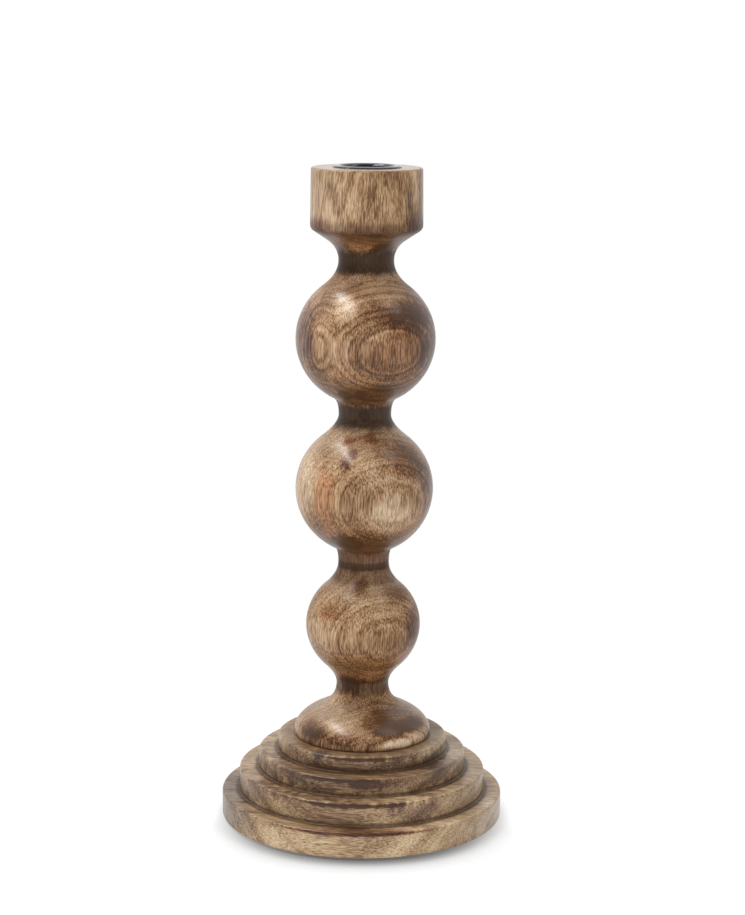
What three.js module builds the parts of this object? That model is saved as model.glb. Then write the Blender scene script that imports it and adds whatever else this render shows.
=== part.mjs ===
// A turned wooden candlestick: a bead stem on a stepped round base, with a metal cup for one taper candle.
// Sizes are millimetres, +Z is up, and the origin is on the ground under the middle of the base.

import * as THREE from 'three';

// Candle and the metal cup that holds it
const candleDiameter = 22;
const candleClearance = 0.5;
const cupWall = 0.9;
const wellDepth = 24;
const cupCorner = 2;
const flangeWidth = 3.1;
const flangeThickness = 0.9;
const flangeEdge = 0.35;
const mouthRound = 0.8;

// Head of the stem, from the neck up
const headTopRadius = 25.1;
const headFootRadius = 25.4;
const headConeSlope = 0.66;
const headFootRound = 1.8;
const headTopRound = 1.2;
const woodBesideBore = 2.21;

// Beads of the stem
const lowBead = { radius: 26.3, halfHeight: 25.1 };
const middleBead = { radius: 31.5, halfHeight: 30.4 };
const topBead = { radius: 31.7, halfHeight: 30.3 };

// Necks: the waist stands one rise above the form below and one drop under the form above it,
// and the hollows reach out from the waist into both forms
const footNeck = { radius: 12, rise: 7.5, drop: 2.9, lowerReach: 8.1, upperReach: 6.1 };
const lowNeck = { radius: 11.6, rise: 4.3, drop: 4.1, lowerReach: 6, upperReach: 2 };
const middleNeck = { radius: 11.9, rise: 3.7, drop: 4.3, lowerReach: 7.8, upperReach: 2.9 };
const topNeck = { radius: 12.5, rise: 5.1, drop: 5.7, lowerReach: 7.1, upperReach: 5.4 };

// Dome at the foot of the stem
const dome = { radius: 31.7, halfHeight: 15.5, footHeight: 1.4, footTuck: 1 };

// Steps of the base: each stands out by its ledge from the step above it, and the top one from the dome
const groundStep = { ledge: 8.1, height: 11.9 };
const secondStep = { ledge: 9, height: 10.7 };
const thirdStep = { ledge: 8.9, height: 8.4 };
const topStep = { ledge: 7.3, height: 7.1 };
const stepRound = 2;
const stepFillet = 1;
const baseFootRound = 1;

// Glued tenon and the screw that draws it tight
const tenonRadius = 12.5;
const tenonChamfer = 1;
const webThickness = 7;
const counterboreDepth = 6;
const screw = { radius: 2.5, headRadius: 4.8, headHeight: 3, pointLength: 5, bite: 31.5 };
const washer = { radius: 7, thickness: 1 };

// Felt pads under the base
const pad = { radius: 9, thickness: 1, inset: 18, count: 4 };

// Clearances
const cupClearance = 0.3;
const spaceUnderCup = 1.1;
const tenonClearance = 0.3;
const tenonEndGap = 0.5;
const screwClearance = 0.3;
const counterboreClearance = 1;

// Facets of the round forms
const stemSides = 36;
const baseSides = 44;
const cupSides = 36;
const smallSides = 20;
const beadSteps = 11;
const coveSteps = 5;
const roundSteps = 3;

// Points of an outline that are nearer than this are one point
const samePoint = 1e-6;

// Base: wall radii from the dome outwards and heights from the pads up, both listed from the ground step up
const steps = [groundStep, secondStep, thirdStep, topStep];
const baseBottom = pad.thickness;
const wallRadii = steps.map((_, level) =>
  steps.slice(level).reduce((sum, step) => sum + step.ledge, dome.radius)
);
const stepTops = steps.map((_, level) =>
  steps.slice(0, level + 1).reduce((sum, step) => sum + step.height, baseBottom)
);
const baseRadius = wallRadii[0];
const baseTop = stepTops[stepTops.length - 1];

// Mortise, tenon and screw, from the underside up
const counterboreTop = baseBottom + counterboreDepth;
const mortiseFloor = counterboreTop + webThickness;
const tenonBottom = mortiseFloor + tenonEndGap;
const screwTip = tenonBottom + screw.bite;
const pilotTop = screwTip + screwClearance;

// Stem: beads and necks from the lowest up, each standing on the form below it
const beads = [lowBead, middleBead, topBead];
const necks = [footNeck, lowNeck, middleNeck, topNeck];
const domeCentre = baseTop + dome.footHeight;
const waists = [domeCentre + dome.halfHeight + footNeck.rise];
const beadCentres = [];
beads.forEach((bead, level) => {
  beadCentres[level] = waists[level] + necks[level].drop + bead.halfHeight;
  waists[level + 1] = beadCentres[level] + bead.halfHeight + necks[level + 1].rise;
});
const topWaist = waists[waists.length - 1];

// Cup and head: the wall of the head is as tall as the bore that takes the cup, and a little wood below it
const wellRadius = candleDiameter / 2 + candleClearance;
const cupRadius = wellRadius + cupWall;
const flangeRadius = cupRadius + flangeWidth;
const boreRadius = cupRadius + cupClearance;
const boreDepth = wellDepth - flangeThickness + cupWall + spaceUnderCup;
const coneSpring = topWaist + topNeck.drop;
const headFoot = coneSpring + headConeSlope * (headFootRadius - topNeck.radius);
const headTop = headFoot + woodBesideBore + boreDepth;
const boreFloor = headTop - boreDepth;
const cupRim = headTop + flangeThickness;
const wellFloor = cupRim - wellDepth;

// Finishes
const lacqueredWood = new THREE.MeshStandardMaterial({ color: 0x8b6b4f, roughness: 0.42, metalness: 0 });
const blackIron = new THREE.MeshStandardMaterial({ color: 0x1b1a19, roughness: 0.4, metalness: 0.7 });
const zincSteel = new THREE.MeshStandardMaterial({ color: 0xa9aaa8, roughness: 0.35, metalness: 1 });
const brownFelt = new THREE.MeshStandardMaterial({ color: 0x4a3a2c, roughness: 0.95, metalness: 0 });

// One point of a turned outline: distance from the axis, height above the ground
const at = (radius, height) => new THREE.Vector2(radius, height);

// Quarter round from one straight to the next, through the corner where they would meet
function corner(from, through, to, steps = roundSteps) {
  return new THREE.QuadraticBezierCurve(from, through, to).getPoints(steps);
}

// Point of a bead's oval at an angle above its middle
function onBead(bead, centre, angle) {
  return at(bead.radius * Math.cos(angle), centre + bead.halfHeight * Math.sin(angle));
}

// Angle at which a bead's oval has come in to a given radius
const angleAtRadius = (bead, radius) => Math.acos(radius / bead.radius);

// Round stretch of a bead between the coves below and above it
function beadRun(bead, centre, lowerAngle, upperAngle) {
  const oval = new THREE.EllipseCurve(0, centre, bead.radius, bead.halfHeight, lowerAngle, upperAngle);
  return oval.getPoints(beadSteps);
}

// Hollow from a bead to a neck's waist: it leaves the bead along its tangent and reaches the waist upright
function cove(bead, centre, angle, neck, waist) {
  const start = onBead(bead, centre, angle);
  const tangentRise = -(bead.halfHeight / bead.radius) / Math.tan(angle);
  const turn = at(neck.radius, start.y + tangentRise * (neck.radius - start.x));
  return corner(start, turn, at(neck.radius, waist), coveSteps);
}

// Outline made of runs that follow each other; a run that starts where the last one ended shares that point
function outline(...runs) {
  const points = runs.flat();
  return points.filter((point, k) => k === 0 || point.distanceTo(points[k - 1]) > samePoint);
}

// Solid turned about the Z axis
function turned(name, points, sides, material) {
  const geometry = new THREE.LatheGeometry(points, sides);
  geometry.rotateX(Math.PI / 2);
  const mesh = new THREE.Mesh(geometry, material);
  mesh.name = name;
  return mesh;
}

// Drawn metal cup: a straight well with a rounded floor, hung by a flat flange with a rounded mouth
function candleCup() {
  const outerFloor = wellFloor - cupWall;
  const innerCorner = cupCorner - cupWall;
  const points = outline(
    [at(0, outerFloor)],
    corner(
      at(cupRadius - cupCorner, outerFloor),
      at(cupRadius, outerFloor),
      at(cupRadius, outerFloor + cupCorner)
    ),
    [at(cupRadius, headTop), at(flangeRadius, headTop)],
    [at(flangeRadius, cupRim - flangeEdge), at(flangeRadius - flangeEdge, cupRim)],
    corner(at(wellRadius + mouthRound, cupRim), at(wellRadius, cupRim), at(wellRadius, cupRim - mouthRound)),
    corner(
      at(wellRadius, wellFloor + innerCorner),
      at(wellRadius, wellFloor),
      at(wellRadius - innerCorner, wellFloor)
    ),
    [at(0, wellFloor)]
  );
  return turned('candle_cup', points, cupSides, blackIron);
}

// Hollow, cone and straight wall of the head, from the top neck's waist to the top face
function headRun() {
  const onCone = (radius) => at(radius, coneSpring + headConeSlope * (radius - topNeck.radius));
  const footInset = headFootRound / Math.hypot(1, headConeSlope);
  return outline(
    corner(
      at(topNeck.radius, topWaist),
      at(topNeck.radius, coneSpring),
      onCone(topNeck.radius + topNeck.upperReach),
      coveSteps
    ),
    corner(
      onCone(headFootRadius - footInset),
      at(headFootRadius, headFoot),
      at(headFootRadius, headFoot + headFootRound)
    ),
    corner(
      at(headTopRadius, headTop - headTopRound),
      at(headTopRadius, headTop),
      at(headTopRadius - headTopRound, headTop)
    )
  );
}

// The stem is turned from one stick: tenon, dome, three beads between coved necks, and the bored head
function stem() {
  const pilotRadius = screw.radius + screwClearance;
  const tenonRun = [
    at(0, pilotTop),
    at(pilotRadius, pilotTop),
    at(pilotRadius, tenonBottom),
    at(tenonRadius - tenonChamfer, tenonBottom),
    at(tenonRadius, tenonBottom + tenonChamfer),
    at(tenonRadius, baseTop),
  ];
  const domeFoot = corner(
    at(dome.radius - dome.footTuck, baseTop),
    at(dome.radius, baseTop),
    at(dome.radius, domeCentre)
  );
  const domeTopAngle = angleAtRadius(dome, footNeck.radius + footNeck.lowerReach);
  const domeRun = beadRun(dome, domeCentre, 0, domeTopAngle);
  const firstCove = cove(dome, domeCentre, domeTopAngle, footNeck, waists[0]);
  const beadRuns = beads.flatMap((bead, level) => {
    const below = necks[level];
    const above = necks[level + 1];
    const centre = beadCentres[level];
    const lowerAngle = -angleAtRadius(bead, below.radius + below.upperReach);
    const upperAngle = angleAtRadius(bead, above.radius + above.lowerReach);
    return [
      ...cove(bead, centre, lowerAngle, below, waists[level]).reverse(),
      ...beadRun(bead, centre, lowerAngle, upperAngle),
      ...cove(bead, centre, upperAngle, above, waists[level + 1]),
    ];
  });
  const boreRun = [at(boreRadius, headTop), at(boreRadius, boreFloor), at(0, boreFloor)];
  const points = outline(tenonRun, domeFoot, domeRun, firstCove, beadRuns, headRun(), boreRun);
  return turned('stem', points, stemSides, lacqueredWood);
}

// One step of the base: a fillet or a rounded edge at its foot, an upright wall and a rounded edge at its top
function stepRun(wall, bottom, top, footReach) {
  return outline(
    corner(at(wall + footReach, bottom), at(wall, bottom), at(wall, bottom + Math.abs(footReach))),
    corner(at(wall, top - stepRound), at(wall, top), at(wall - stepRound, top))
  );
}

// The base is one turned block with a mortise above, a counterbore below and a screw hole through the web
function base() {
  const counterboreRadius = washer.radius + counterboreClearance;
  const mortiseRadius = tenonRadius + tenonClearance;
  const holeRadius = screw.radius + screwClearance;
  const stepRuns = wallRadii.flatMap((wall, level) =>
    level === 0
      ? stepRun(wall, baseBottom, stepTops[0], -baseFootRound)
      : stepRun(wall, stepTops[level - 1], stepTops[level], stepFillet)
  );
  const points = outline(
    [at(counterboreRadius, baseBottom)],
    stepRuns,
    [at(mortiseRadius, baseTop), at(mortiseRadius, mortiseFloor)],
    [at(holeRadius, mortiseFloor), at(holeRadius, counterboreTop)],
    [at(counterboreRadius, counterboreTop), at(counterboreRadius, baseBottom)]
  );
  return turned('base', points, baseSides, lacqueredWood);
}

// Round-head wood screw, head down, its shank through the washer and the web into the tenon
function stemScrew() {
  const seat = counterboreTop - washer.thickness;
  const headBottom = seat - screw.headHeight;
  const crown = new THREE.EllipseCurve(0, seat, screw.headRadius, screw.headHeight, -Math.PI / 2, 0);
  const points = outline(
    [at(0, headBottom)],
    crown.getPoints(roundSteps + 1).slice(1),
    [at(screw.radius, seat), at(screw.radius, screwTip - screw.pointLength), at(0, screwTip)]
  );
  return turned('stem_screw', points, smallSides, zincSteel);
}

// Flat washer between the screw's head and the counterbore's ceiling
function screwWasher() {
  const inner = screw.radius + screwClearance;
  const bottom = counterboreTop - washer.thickness;
  const points = [
    at(inner, bottom),
    at(washer.radius, bottom),
    at(washer.radius, counterboreTop),
    at(inner, counterboreTop),
    at(inner, bottom),
  ];
  return turned('screw_washer', points, smallSides, zincSteel);
}

// Round felt pads, evenly spaced on a circle near the edge of the underside
function feltPads() {
  const circle = baseRadius - pad.inset;
  return Array.from({ length: pad.count }, (_, k) => {
    const angle = ((k + 0.5) * 2 * Math.PI) / pad.count;
    const points = [at(0, 0), at(pad.radius, 0), at(pad.radius, pad.thickness), at(0, pad.thickness)];
    const mesh = turned(`felt_pad_${k + 1}`, points, smallSides, brownFelt);
    mesh.position.set(circle * Math.cos(angle), circle * Math.sin(angle), 0);
    return mesh;
  });
}

const candlestick = new THREE.Group();
candlestick.add(candleCup(), stem(), base(), stemScrew(), screwWasher(), ...feltPads());

export default candlestick;
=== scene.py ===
import math

import bpy
import numpy as np
from mathutils import Matrix, Vector


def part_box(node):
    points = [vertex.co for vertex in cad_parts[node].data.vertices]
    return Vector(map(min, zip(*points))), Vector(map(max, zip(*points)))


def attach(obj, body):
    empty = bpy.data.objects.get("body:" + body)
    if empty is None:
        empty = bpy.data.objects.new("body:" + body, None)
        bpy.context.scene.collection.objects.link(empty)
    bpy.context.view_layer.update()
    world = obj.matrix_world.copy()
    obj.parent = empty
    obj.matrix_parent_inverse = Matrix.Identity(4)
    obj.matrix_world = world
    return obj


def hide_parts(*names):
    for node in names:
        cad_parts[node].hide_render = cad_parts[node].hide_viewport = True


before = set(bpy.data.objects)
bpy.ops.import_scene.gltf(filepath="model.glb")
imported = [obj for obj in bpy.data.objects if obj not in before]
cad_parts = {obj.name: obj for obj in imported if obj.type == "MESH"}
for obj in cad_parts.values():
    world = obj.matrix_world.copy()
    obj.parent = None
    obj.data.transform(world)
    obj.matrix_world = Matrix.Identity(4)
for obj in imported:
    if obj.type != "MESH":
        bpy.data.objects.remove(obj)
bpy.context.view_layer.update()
print("frame loaded:", sorted(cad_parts))


# Curves of a turned outline: rows of (radius, height) in metres, as many as the count says

def straight(start, end, count):
    # evenly spaced points from start to end
    t = np.linspace(0, 1, count)[:, None]
    return np.array(start) + t * (np.array(end) - np.array(start))


def bend(start, turn, end, count):
    # quadratic curve, tangent at both ends: start, turn and end weighed by (1-t)^2, 2t(1-t) and t^2
    t = np.linspace(0, 1, count)[:, None]
    return (1 - t) ** 2 * np.array(start) + 2 * t * (1 - t) * np.array(turn) + t**2 * np.array(end)


def ovalRun(bead, centre, lowAngle, highAngle, count):
    # side of a bead: radius times cos a outwards, half height times sin a upwards
    a = np.linspace(lowAngle, highAngle, count)
    return np.column_stack([bead["radius"] * np.cos(a), centre + bead["halfHeight"] * np.sin(a)])


def coveRun(bead, centre, angle, neckRadius, waist, count):
    # hollow from a bead's tangent at an angle to the upright waist of a neck
    start = ovalRun(bead, centre, angle, angle, 1)[0]
    slope = -bead["halfHeight"] / bead["radius"] / math.tan(angle)
    turn = (neckRadius, start[1] + slope * (neckRadius - start[0]))
    return bend(start, turn, (neckRadius, waist), count)


def joinRuns(*runs):
    # runs laid end to end, with each shared point kept once
    samePoint = 1e-7
    points = np.concatenate([np.atleast_2d(np.array(run, float)) for run in runs])
    step = np.linalg.norm(np.diff(points, axis=0), axis=1)
    return points[np.concatenate([[True], step > samePoint])]


# Meshes

def meshPiece(name, points, quads, triangles, sharpAngle=40):
    # vertices, four-sided faces and three-sided faces, given as whole arrays
    mesh = bpy.data.meshes.new(name)
    corners = np.concatenate([quads.ravel(), triangles.ravel()]).astype(np.int32)
    sizes = np.concatenate([np.full(len(quads), 4), np.full(len(triangles), 3)]).astype(np.int32)
    mesh.vertices.add(len(points))
    mesh.vertices.foreach_set("co", np.ascontiguousarray(points, dtype=np.float32).ravel())
    mesh.loops.add(len(corners))
    mesh.loops.foreach_set("vertex_index", corners)
    mesh.polygons.add(len(sizes))
    mesh.polygons.foreach_set("loop_start", np.concatenate([[0], np.cumsum(sizes)[:-1]]).astype(np.int32))
    mesh.polygons.foreach_set("use_smooth", np.ones(len(sizes), dtype=bool))
    mesh.update(calc_edges=True)
    mesh.set_sharp_from_angle(angle=math.radians(sharpAngle))
    piece = bpy.data.objects.new(name, mesh)
    bpy.context.scene.collection.objects.link(piece)
    return piece


def turnedPiece(name, outline, sides, form=None, centre=(0.0, 0.0)):
    # surface of turning: (radius cos a, radius sin a, height) over the outline's points and the angle a;
    # a form may change radius and height, an end on the axis becomes one point, and a loop is closed
    axisGap = 1e-9
    closed = np.allclose(outline[0], outline[-1])
    startsOnAxis = outline[0, 0] < axisGap
    endsOnAxis = outline[-1, 0] < axisGap
    rows = outline[int(startsOnAxis): len(outline) - int(endsOnAxis or closed)]
    angle = np.linspace(0, 2 * np.pi, sides, endpoint=False)[None, :]
    radius = np.repeat(rows[:, :1], sides, axis=1)
    height = np.repeat(rows[:, 1:], sides, axis=1)
    poles = outline[[0, -1], 1]
    if form is not None:
        radius, height = form(radius, height, angle)
        poles = form(np.zeros((2, 1)), poles[:, None], np.zeros((1, 1)))[1][:, 0]
    x = centre[0] + radius * np.cos(angle)
    y = centre[1] + radius * np.sin(angle)
    points = np.stack([x, y, height], axis=-1).reshape(-1, 3)
    row = np.arange(len(rows) if closed else len(rows) - 1)[:, None]
    low = row * sides
    high = (row + 1) % len(rows) * sides
    here = np.arange(sides)[None, :]
    there = (here + 1) % sides
    quads = np.stack([low + here, low + there, high + there, high + here], axis=-1)
    fans = np.zeros((0, 3), int)
    if startsOnAxis:
        pole = np.full(sides, len(points))
        points = np.vstack([points, [*centre, poles[0]]])
        fans = np.vstack([fans, np.column_stack([pole, there[0], here[0]])])
    if endsOnAxis:
        pole = np.full(sides, len(points))
        points = np.vstack([points, [*centre, poles[1]]])
        lastRow = (len(rows) - 1) * sides
        fans = np.vstack([fans, np.column_stack([pole, lastRow + here[0], lastRow + there[0]])])
    return meshPiece(name, points, quads.reshape(-1, 4), fans)


def place(piece, material, body, node):
    # finish on the piece, the body it moves with and the solid it stands for, which is hidden
    piece.data.materials.append(material)
    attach(piece, body)
    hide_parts(node)
    print(piece.name + ":", len(piece.data.vertices), "vertices")


# Node trees

def tone(red, green, blue):
    # screen colour from 0 to 255 as the linear colour that the shader takes
    screen = np.array([red, green, blue]) / 255
    linear = np.where(screen <= 0.04045, screen / 12.92, ((screen + 0.055) / 1.055) ** 2.4)
    return (*linear.tolist(), 1.0)


class NodeBoard:
    def __init__(self, tree):
        self.tree = tree

    def feed(self, socket, value):
        # a link from another socket, or a plain value
        if isinstance(value, bpy.types.NodeSocket):
            self.tree.links.new(value, socket)
        else:
            socket.default_value = value

    def add(self, kind, inputs=None, out=0, **settings):
        node = self.tree.nodes.new("ShaderNode" + kind)
        for setting, value in settings.items():
            setattr(node, setting, value)
        for socket, value in (inputs or {}).items():
            self.feed(node.inputs[socket], value)
        return node.outputs[out]

    def millimetres(self):
        return self.stretched(self.add("TexCoord", out="Object"), (1000, 1000, 1000))

    def maths(self, operation, a, b=0.0, c=0.0):
        return self.add("Math", {0: a, 1: b, 2: c}, operation=operation)

    def times(self, a, b):
        return self.maths("MULTIPLY", a, b)

    def plus(self, total, a, b=1.0):
        # the total and a times b
        return self.maths("MULTIPLY_ADD", a, b, total)

    def gap(self, value, at):
        # distance of the value from a place
        return self.maths("ABSOLUTE", self.maths("SUBTRACT", value, at))

    def vectors(self, operation, a, b=(0.0, 0.0, 0.0), out=0):
        return self.add("VectorMath", {0: a, 1: b}, out, operation=operation)

    def stretched(self, vector, scale):
        return self.vectors("MULTIPLY", vector, scale)

    def part(self, vector, axis):
        return self.add("SeparateXYZ", {0: vector}, axis)

    def noise(self, vector, scale, detail=2.0, roughness=0.5, upright=1.0, out=0):
        # noise over a vector whose Z is scaled first, so less than 1 draws it out along Z
        vector = self.stretched(vector, (1, 1, upright))
        inputs = {"Vector": vector, "Scale": scale, "Detail": detail, "Roughness": roughness}
        return self.add("TexNoise", inputs, out)

    def between(self, value, low, high, toLow=0.0, toHigh=1.0):
        # smooth step: toLow where the value is low, toHigh where it is high
        inputs = {0: value, 1: low, 2: high, 3: toLow, 4: toHigh}
        return self.add("MapRange", inputs, interpolation_type="SMOOTHSTEP")

    def mixed(self, share, first, second, blend="MIX"):
        return self.add("Mix", {0: share, 6: first, 7: second}, 2, data_type="RGBA", blend_type=blend)

    def stainedOrShaded(self, colour, reach, share, stainOrShade, blend="MIX"):
        # the colour, with a share of a stain or of painted shade as far as it reaches
        return self.mixed(self.times(reach, share), colour, stainOrShade, blend)

    def ramp(self, value, stops):
        # colour between stops, each a value and a colour
        node = self.tree.nodes.new("ShaderNodeValToRGB")
        for extra in range(len(stops) - 2):
            node.color_ramp.elements.new(0.5)
        for element, (position, colour) in zip(node.color_ramp.elements, stops):
            element.position = position
            element.color = colour
        self.feed(node.inputs[0], value)
        return node.outputs[0]

    def bump(self, height, look):
        inputs = {"Strength": look["relief"], "Distance": look["reliefDepth"], "Height": height}
        return self.add("Bump", inputs)

    def surface(self, **sockets):
        inputs = {socket.replace("_", " "): value for socket, value in sockets.items()}
        return self.add("BsdfPrincipled", inputs)

    def output(self, surface):
        self.feed(self.tree.nodes.new("ShaderNodeOutputMaterial").inputs["Surface"], surface)


def newMaterial(name):
    material = bpy.data.materials.new(name)
    material.use_nodes = True
    material.node_tree.nodes.clear()
    return material, NodeBoard(material.node_tree)


# Lacquered wood: growth rings round a pith line, fibres and pores drawn out along the grain, in millimetres

# a noise is its scale, detail, roughness and scale along Z, and edges are those of a smooth step
woodFinish = {
    "waverNoise": (0.45, 2.0, 0.5, 0.3),
    "ringNoise": {"Detail": 3.0, "Roughness": 0.6}, "ringEdges": (0.26, 0.8),
    "fibreNoise": (1.9, 4.0, 0.62, 0.05), "fibreEdges": (0.36, 0.66),
    "poreScale": 1.5, "poreStretch": (1, 1, 0.12), "poreEdges": (1.25, 0.55), "poreDark": 0.56,
    "poreSize": (0.16, 0.4), "sizeNoise": (0.3, 2.0, 0.5, 0.3), "sizeByRing": 0.2, "sizeEdges": (0.3, 0.8),
    "patchNoise": (0.05, 3.0, 0.55, 0.45), "patchEdges": (0.3, 0.7), "patchDark": (0.06, 0.34),
    "raggedNoise": (0.3, 3.0, 0.6, 0.6), "raggedSwing": 0.8, "spotEdges": (1.3, 0.4),
    # by the normal's upward part: faces that look up take painted light, faces that look down painted shade
    "topLightEdges": (0.6, 0.95), "underShadeEdges": (0.0, -0.8), "endEdges": (0.45, 1.0), "flatEdges": (0.9, 1.0),
    "glossNoise": (0.12, 3.0), "glossEdges": (0.3, 0.7), "roughness": (0.42, 0.54), "specular": 0.12,
    "coat": 0.54, "coatRoughness": 0.25, "coatIor": 1.5,
    "relief": 0.1, "reliefDepth": 0.0003, "poreRelief": -0.6, "fibreRelief": 0.5,
}


def swayOf(board, grain, noise, amount):
    # push across the grain: noise less its middle value, times the amount
    push = board.vectors("SUBTRACT", board.noise(grain, *noise, out=1), (0.5, 0.5, 0.5))
    return board.stretched(push, (amount, amount, 0))


def ringPlace(board, grain, wood):
    # distance from the pith line, swayed by slow and quick noise, with swells that bulge the rings outwards
    slow = swayOf(board, grain, wood["swayNoise"], wood["sway"])
    quick = swayOf(board, grain, woodFinish["waverNoise"], wood["waver"])
    swayed = board.vectors("ADD", board.vectors("ADD", grain, slow), quick)
    distance = board.vectors("LENGTH", board.stretched(swayed, (1, 1, 0)), out=1)
    for swell in wood["swells"]:
        off = board.gap(board.part(grain, "X"), swell["at"])
        rise = board.between(board.part(grain, "Z"), *swell["heights"], 0.0, swell["rise"])
        distance = board.plus(distance, board.between(off, swell["half"], 0.0), rise)
    return swayed, distance


def growthLines(board, distance, lines):
    # sum of soft lines, each its darkness times a smooth fall from the line's middle to its half width
    total = 0.0
    for at, half, dark in lines:
        total = board.plus(total, board.between(board.gap(distance, at), half, 0.0), dark)
    return total


def poreDashes(board, swayed, grain, ringDark):
    # short dashes along the grain, larger in the dark of a ring and smaller in patches
    finish = woodFinish
    cells = board.stretched(swayed, finish["poreStretch"])
    away = board.add("TexVoronoi", {"Vector": cells, "Scale": finish["poreScale"]})
    size = board.plus(board.noise(grain, *finish["sizeNoise"]), ringDark, finish["sizeByRing"])
    size = board.between(size, *finish["sizeEdges"], *finish["poreSize"])
    return board.between(board.maths("DIVIDE", away, size), *finish["poreEdges"])


def blotch(centre, size, dark, tint=None, hue=None, ragged=1.0):
    # change of darkness in an oval ball of three half sizes, with a share of a hue and a ragged edge
    spot = {"centre": centre, "size": size, "dark": dark, "ragged": ragged}
    return spot if tint is None else {**spot, "tint": tint, "tone": tone(*hue)}


def shadeAndDullHoop(radius, height, halfHeight, share, colour, dull=0.7, halfRadius=12.0, ragged=0.45, soft=0.35):
    # band round the axis, in millimetres, of painted shade by its share of the colour, and with less
    # lacquer
    return {
        "radius": radius, "height": height, "halfRadius": halfRadius, "halfHeight": halfHeight,
        "share": share, "tone": tone(*colour), "dull": dull, "ragged": ragged, "soft": soft,
    }


def spotReach(board, spot, here, ragged):
    # one blotch: a soft oval ball about its centre, its edge moved in and out by noise
    away = board.vectors("DIVIDE", board.vectors("SUBTRACT", here, spot["centre"]), spot["size"])
    away = board.plus(board.vectors("LENGTH", away, out=1), ragged, spot["ragged"])
    return board.between(away, *woodFinish["spotEdges"])


def hoopReach(board, band, axisGap, height, ragged):
    # one hoop: an oval ring about a circle of its radius and height, its edge moved in and out by noise
    across = board.maths("DIVIDE", board.gap(axisGap, band["radius"]), band["halfRadius"])
    up = board.maths("DIVIDE", board.gap(height, band["height"]), band["halfHeight"])
    away = board.maths("SQRT", board.plus(board.times(up, up), across, across))
    away = board.plus(away, ragged, band["ragged"])
    return board.between(away, 1.0 + band["soft"], 1.0 - band["soft"])


def woodMaterial(name, wood):
    material, board = newMaterial(name)
    finish = woodFinish
    here = board.millimetres()
    height = board.part(here, "Z")
    turn = Vector(wood["grainLine"]).rotation_difference(Vector((0, 0, 1)))
    shift = -(turn @ Vector(wood["pith"]))
    grain = board.add("Mapping", {"Vector": here, "Location": shift, "Rotation": turn.to_euler()})
    swayed, distance = ringPlace(board, grain, wood)

    # growth rings: uneven dark and light layers by distance from the pith
    ringInputs = {"W": distance, "Scale": wood["ringScale"], **finish["ringNoise"]}
    rings = board.add("TexNoise", ringInputs, noise_dimensions="1D")
    ringDark = board.between(rings, *finish["ringEdges"])

    # fibres: fine streaks many times longer than wide
    fibres = board.noise(swayed, *finish["fibreNoise"])
    fibreDark = board.between(fibres, *finish["fibreEdges"])
    poreDark = poreDashes(board, swayed, grain, ringDark)

    # how dark the wood is here: rings, fibres, growth lines from the height where a group of them comes in,
    # broad patches, painted light on faces that look up, painted shade on faces that look down, and
    # blotches, some of them painted highlights and painted shade
    normal = board.add("NewGeometry", out="Normal")
    facing = board.part(normal, "Z")
    # painted shade on faces that look down
    underShade = board.between(facing, *finish["underShadeEdges"])
    broad = board.noise(grain, *finish["patchNoise"])
    dark = board.times(ringDark, board.between(height, *wood["ringHeights"], *wood["ringDark"]))
    dark = board.plus(dark, fibreDark, wood["fibreDark"])
    for group in wood["growth"]:
        lines = growthLines(board, distance, group["lines"])
        dark = board.plus(dark, lines, board.between(height, *group["heights"]))
    dark = board.plus(dark, board.between(broad, *finish["patchEdges"], *finish["patchDark"]))
    # painted light: faces that look up are made lighter where this darkness is below nought
    dark = board.plus(dark, board.between(facing, *finish["topLightEdges"], 0.0, wood["paintedTopLight"]))
    # painted shade: darker on faces that look down
    dark = board.plus(dark, underShade, wood["underShadeDark"])
    ragged = board.noise(here, *finish["raggedNoise"])
    ragged = board.plus(-finish["raggedSwing"], ragged, 2 * finish["raggedSwing"])
    reaches = [spotReach(board, spot, here, ragged) for spot in wood["spots"]]
    for reach, spot in zip(reaches, wood["spots"]):
        dark = board.plus(dark, reach, spot["dark"])
    colour = board.ramp(dark, wood["tones"])
    # warm painted bounce light on faces that look down
    colour = board.stainedOrShaded(colour, underShade, wood["underBounceTint"], wood["underBounceTone"], "COLOR")
    for reach, spot in zip(reaches, wood["spots"]):
        if "tint" in spot:
            colour = board.stainedOrShaded(colour, reach, spot["tint"], spot["tone"], "COLOR")

    # end grain drinks more finish
    along = board.maths("ABSOLUTE", board.vectors("DOT_PRODUCT", normal, wood["grainLine"], 1))
    endGrain = board.between(along, *finish["endEdges"])
    colour = board.stainedOrShaded(colour, endGrain, wood["endShare"], wood["endTone"])

    # hoops of painted shade in the necks and corners and bands of less lacquer, and more lacquer on faces
    # that lie flat
    axisGap = board.vectors("LENGTH", board.stretched(here, (1, 1, 0)), out=1)
    coat = board.between(facing, *finish["flatEdges"], finish["coat"], finish["coat"] + wood["topCoat"])
    for band in wood["shadeAndDullHoops"]:
        reach = hoopReach(board, band, axisGap, height, ragged)
        colour = board.stainedOrShaded(colour, reach, band["share"], band["tone"])
        coat = board.times(coat, board.plus(1.0, reach, -band["dull"]))
    colour = board.stainedOrShaded(colour, poreDark, finish["poreDark"], wood["poreTone"])

    # the lacquer follows the pores and fibres a little
    relief = board.plus(board.times(fibres, finish["fibreRelief"]), poreDark, finish["poreRelief"])
    bump = board.bump(relief, finish)
    gloss = board.noise(grain, *finish["glossNoise"])
    gloss = board.between(gloss, *finish["glossEdges"], *finish["roughness"])
    board.output(board.surface(
        Base_Color=colour, Roughness=gloss, Normal=bump, Specular_IOR_Level=finish["specular"],
        Coat_Weight=coat, Coat_Roughness=finish["coatRoughness"], Coat_IOR=finish["coatIor"],
    ))
    return material


# Stem: tenon, dome, three beads between coved necks, and the bored head

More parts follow.
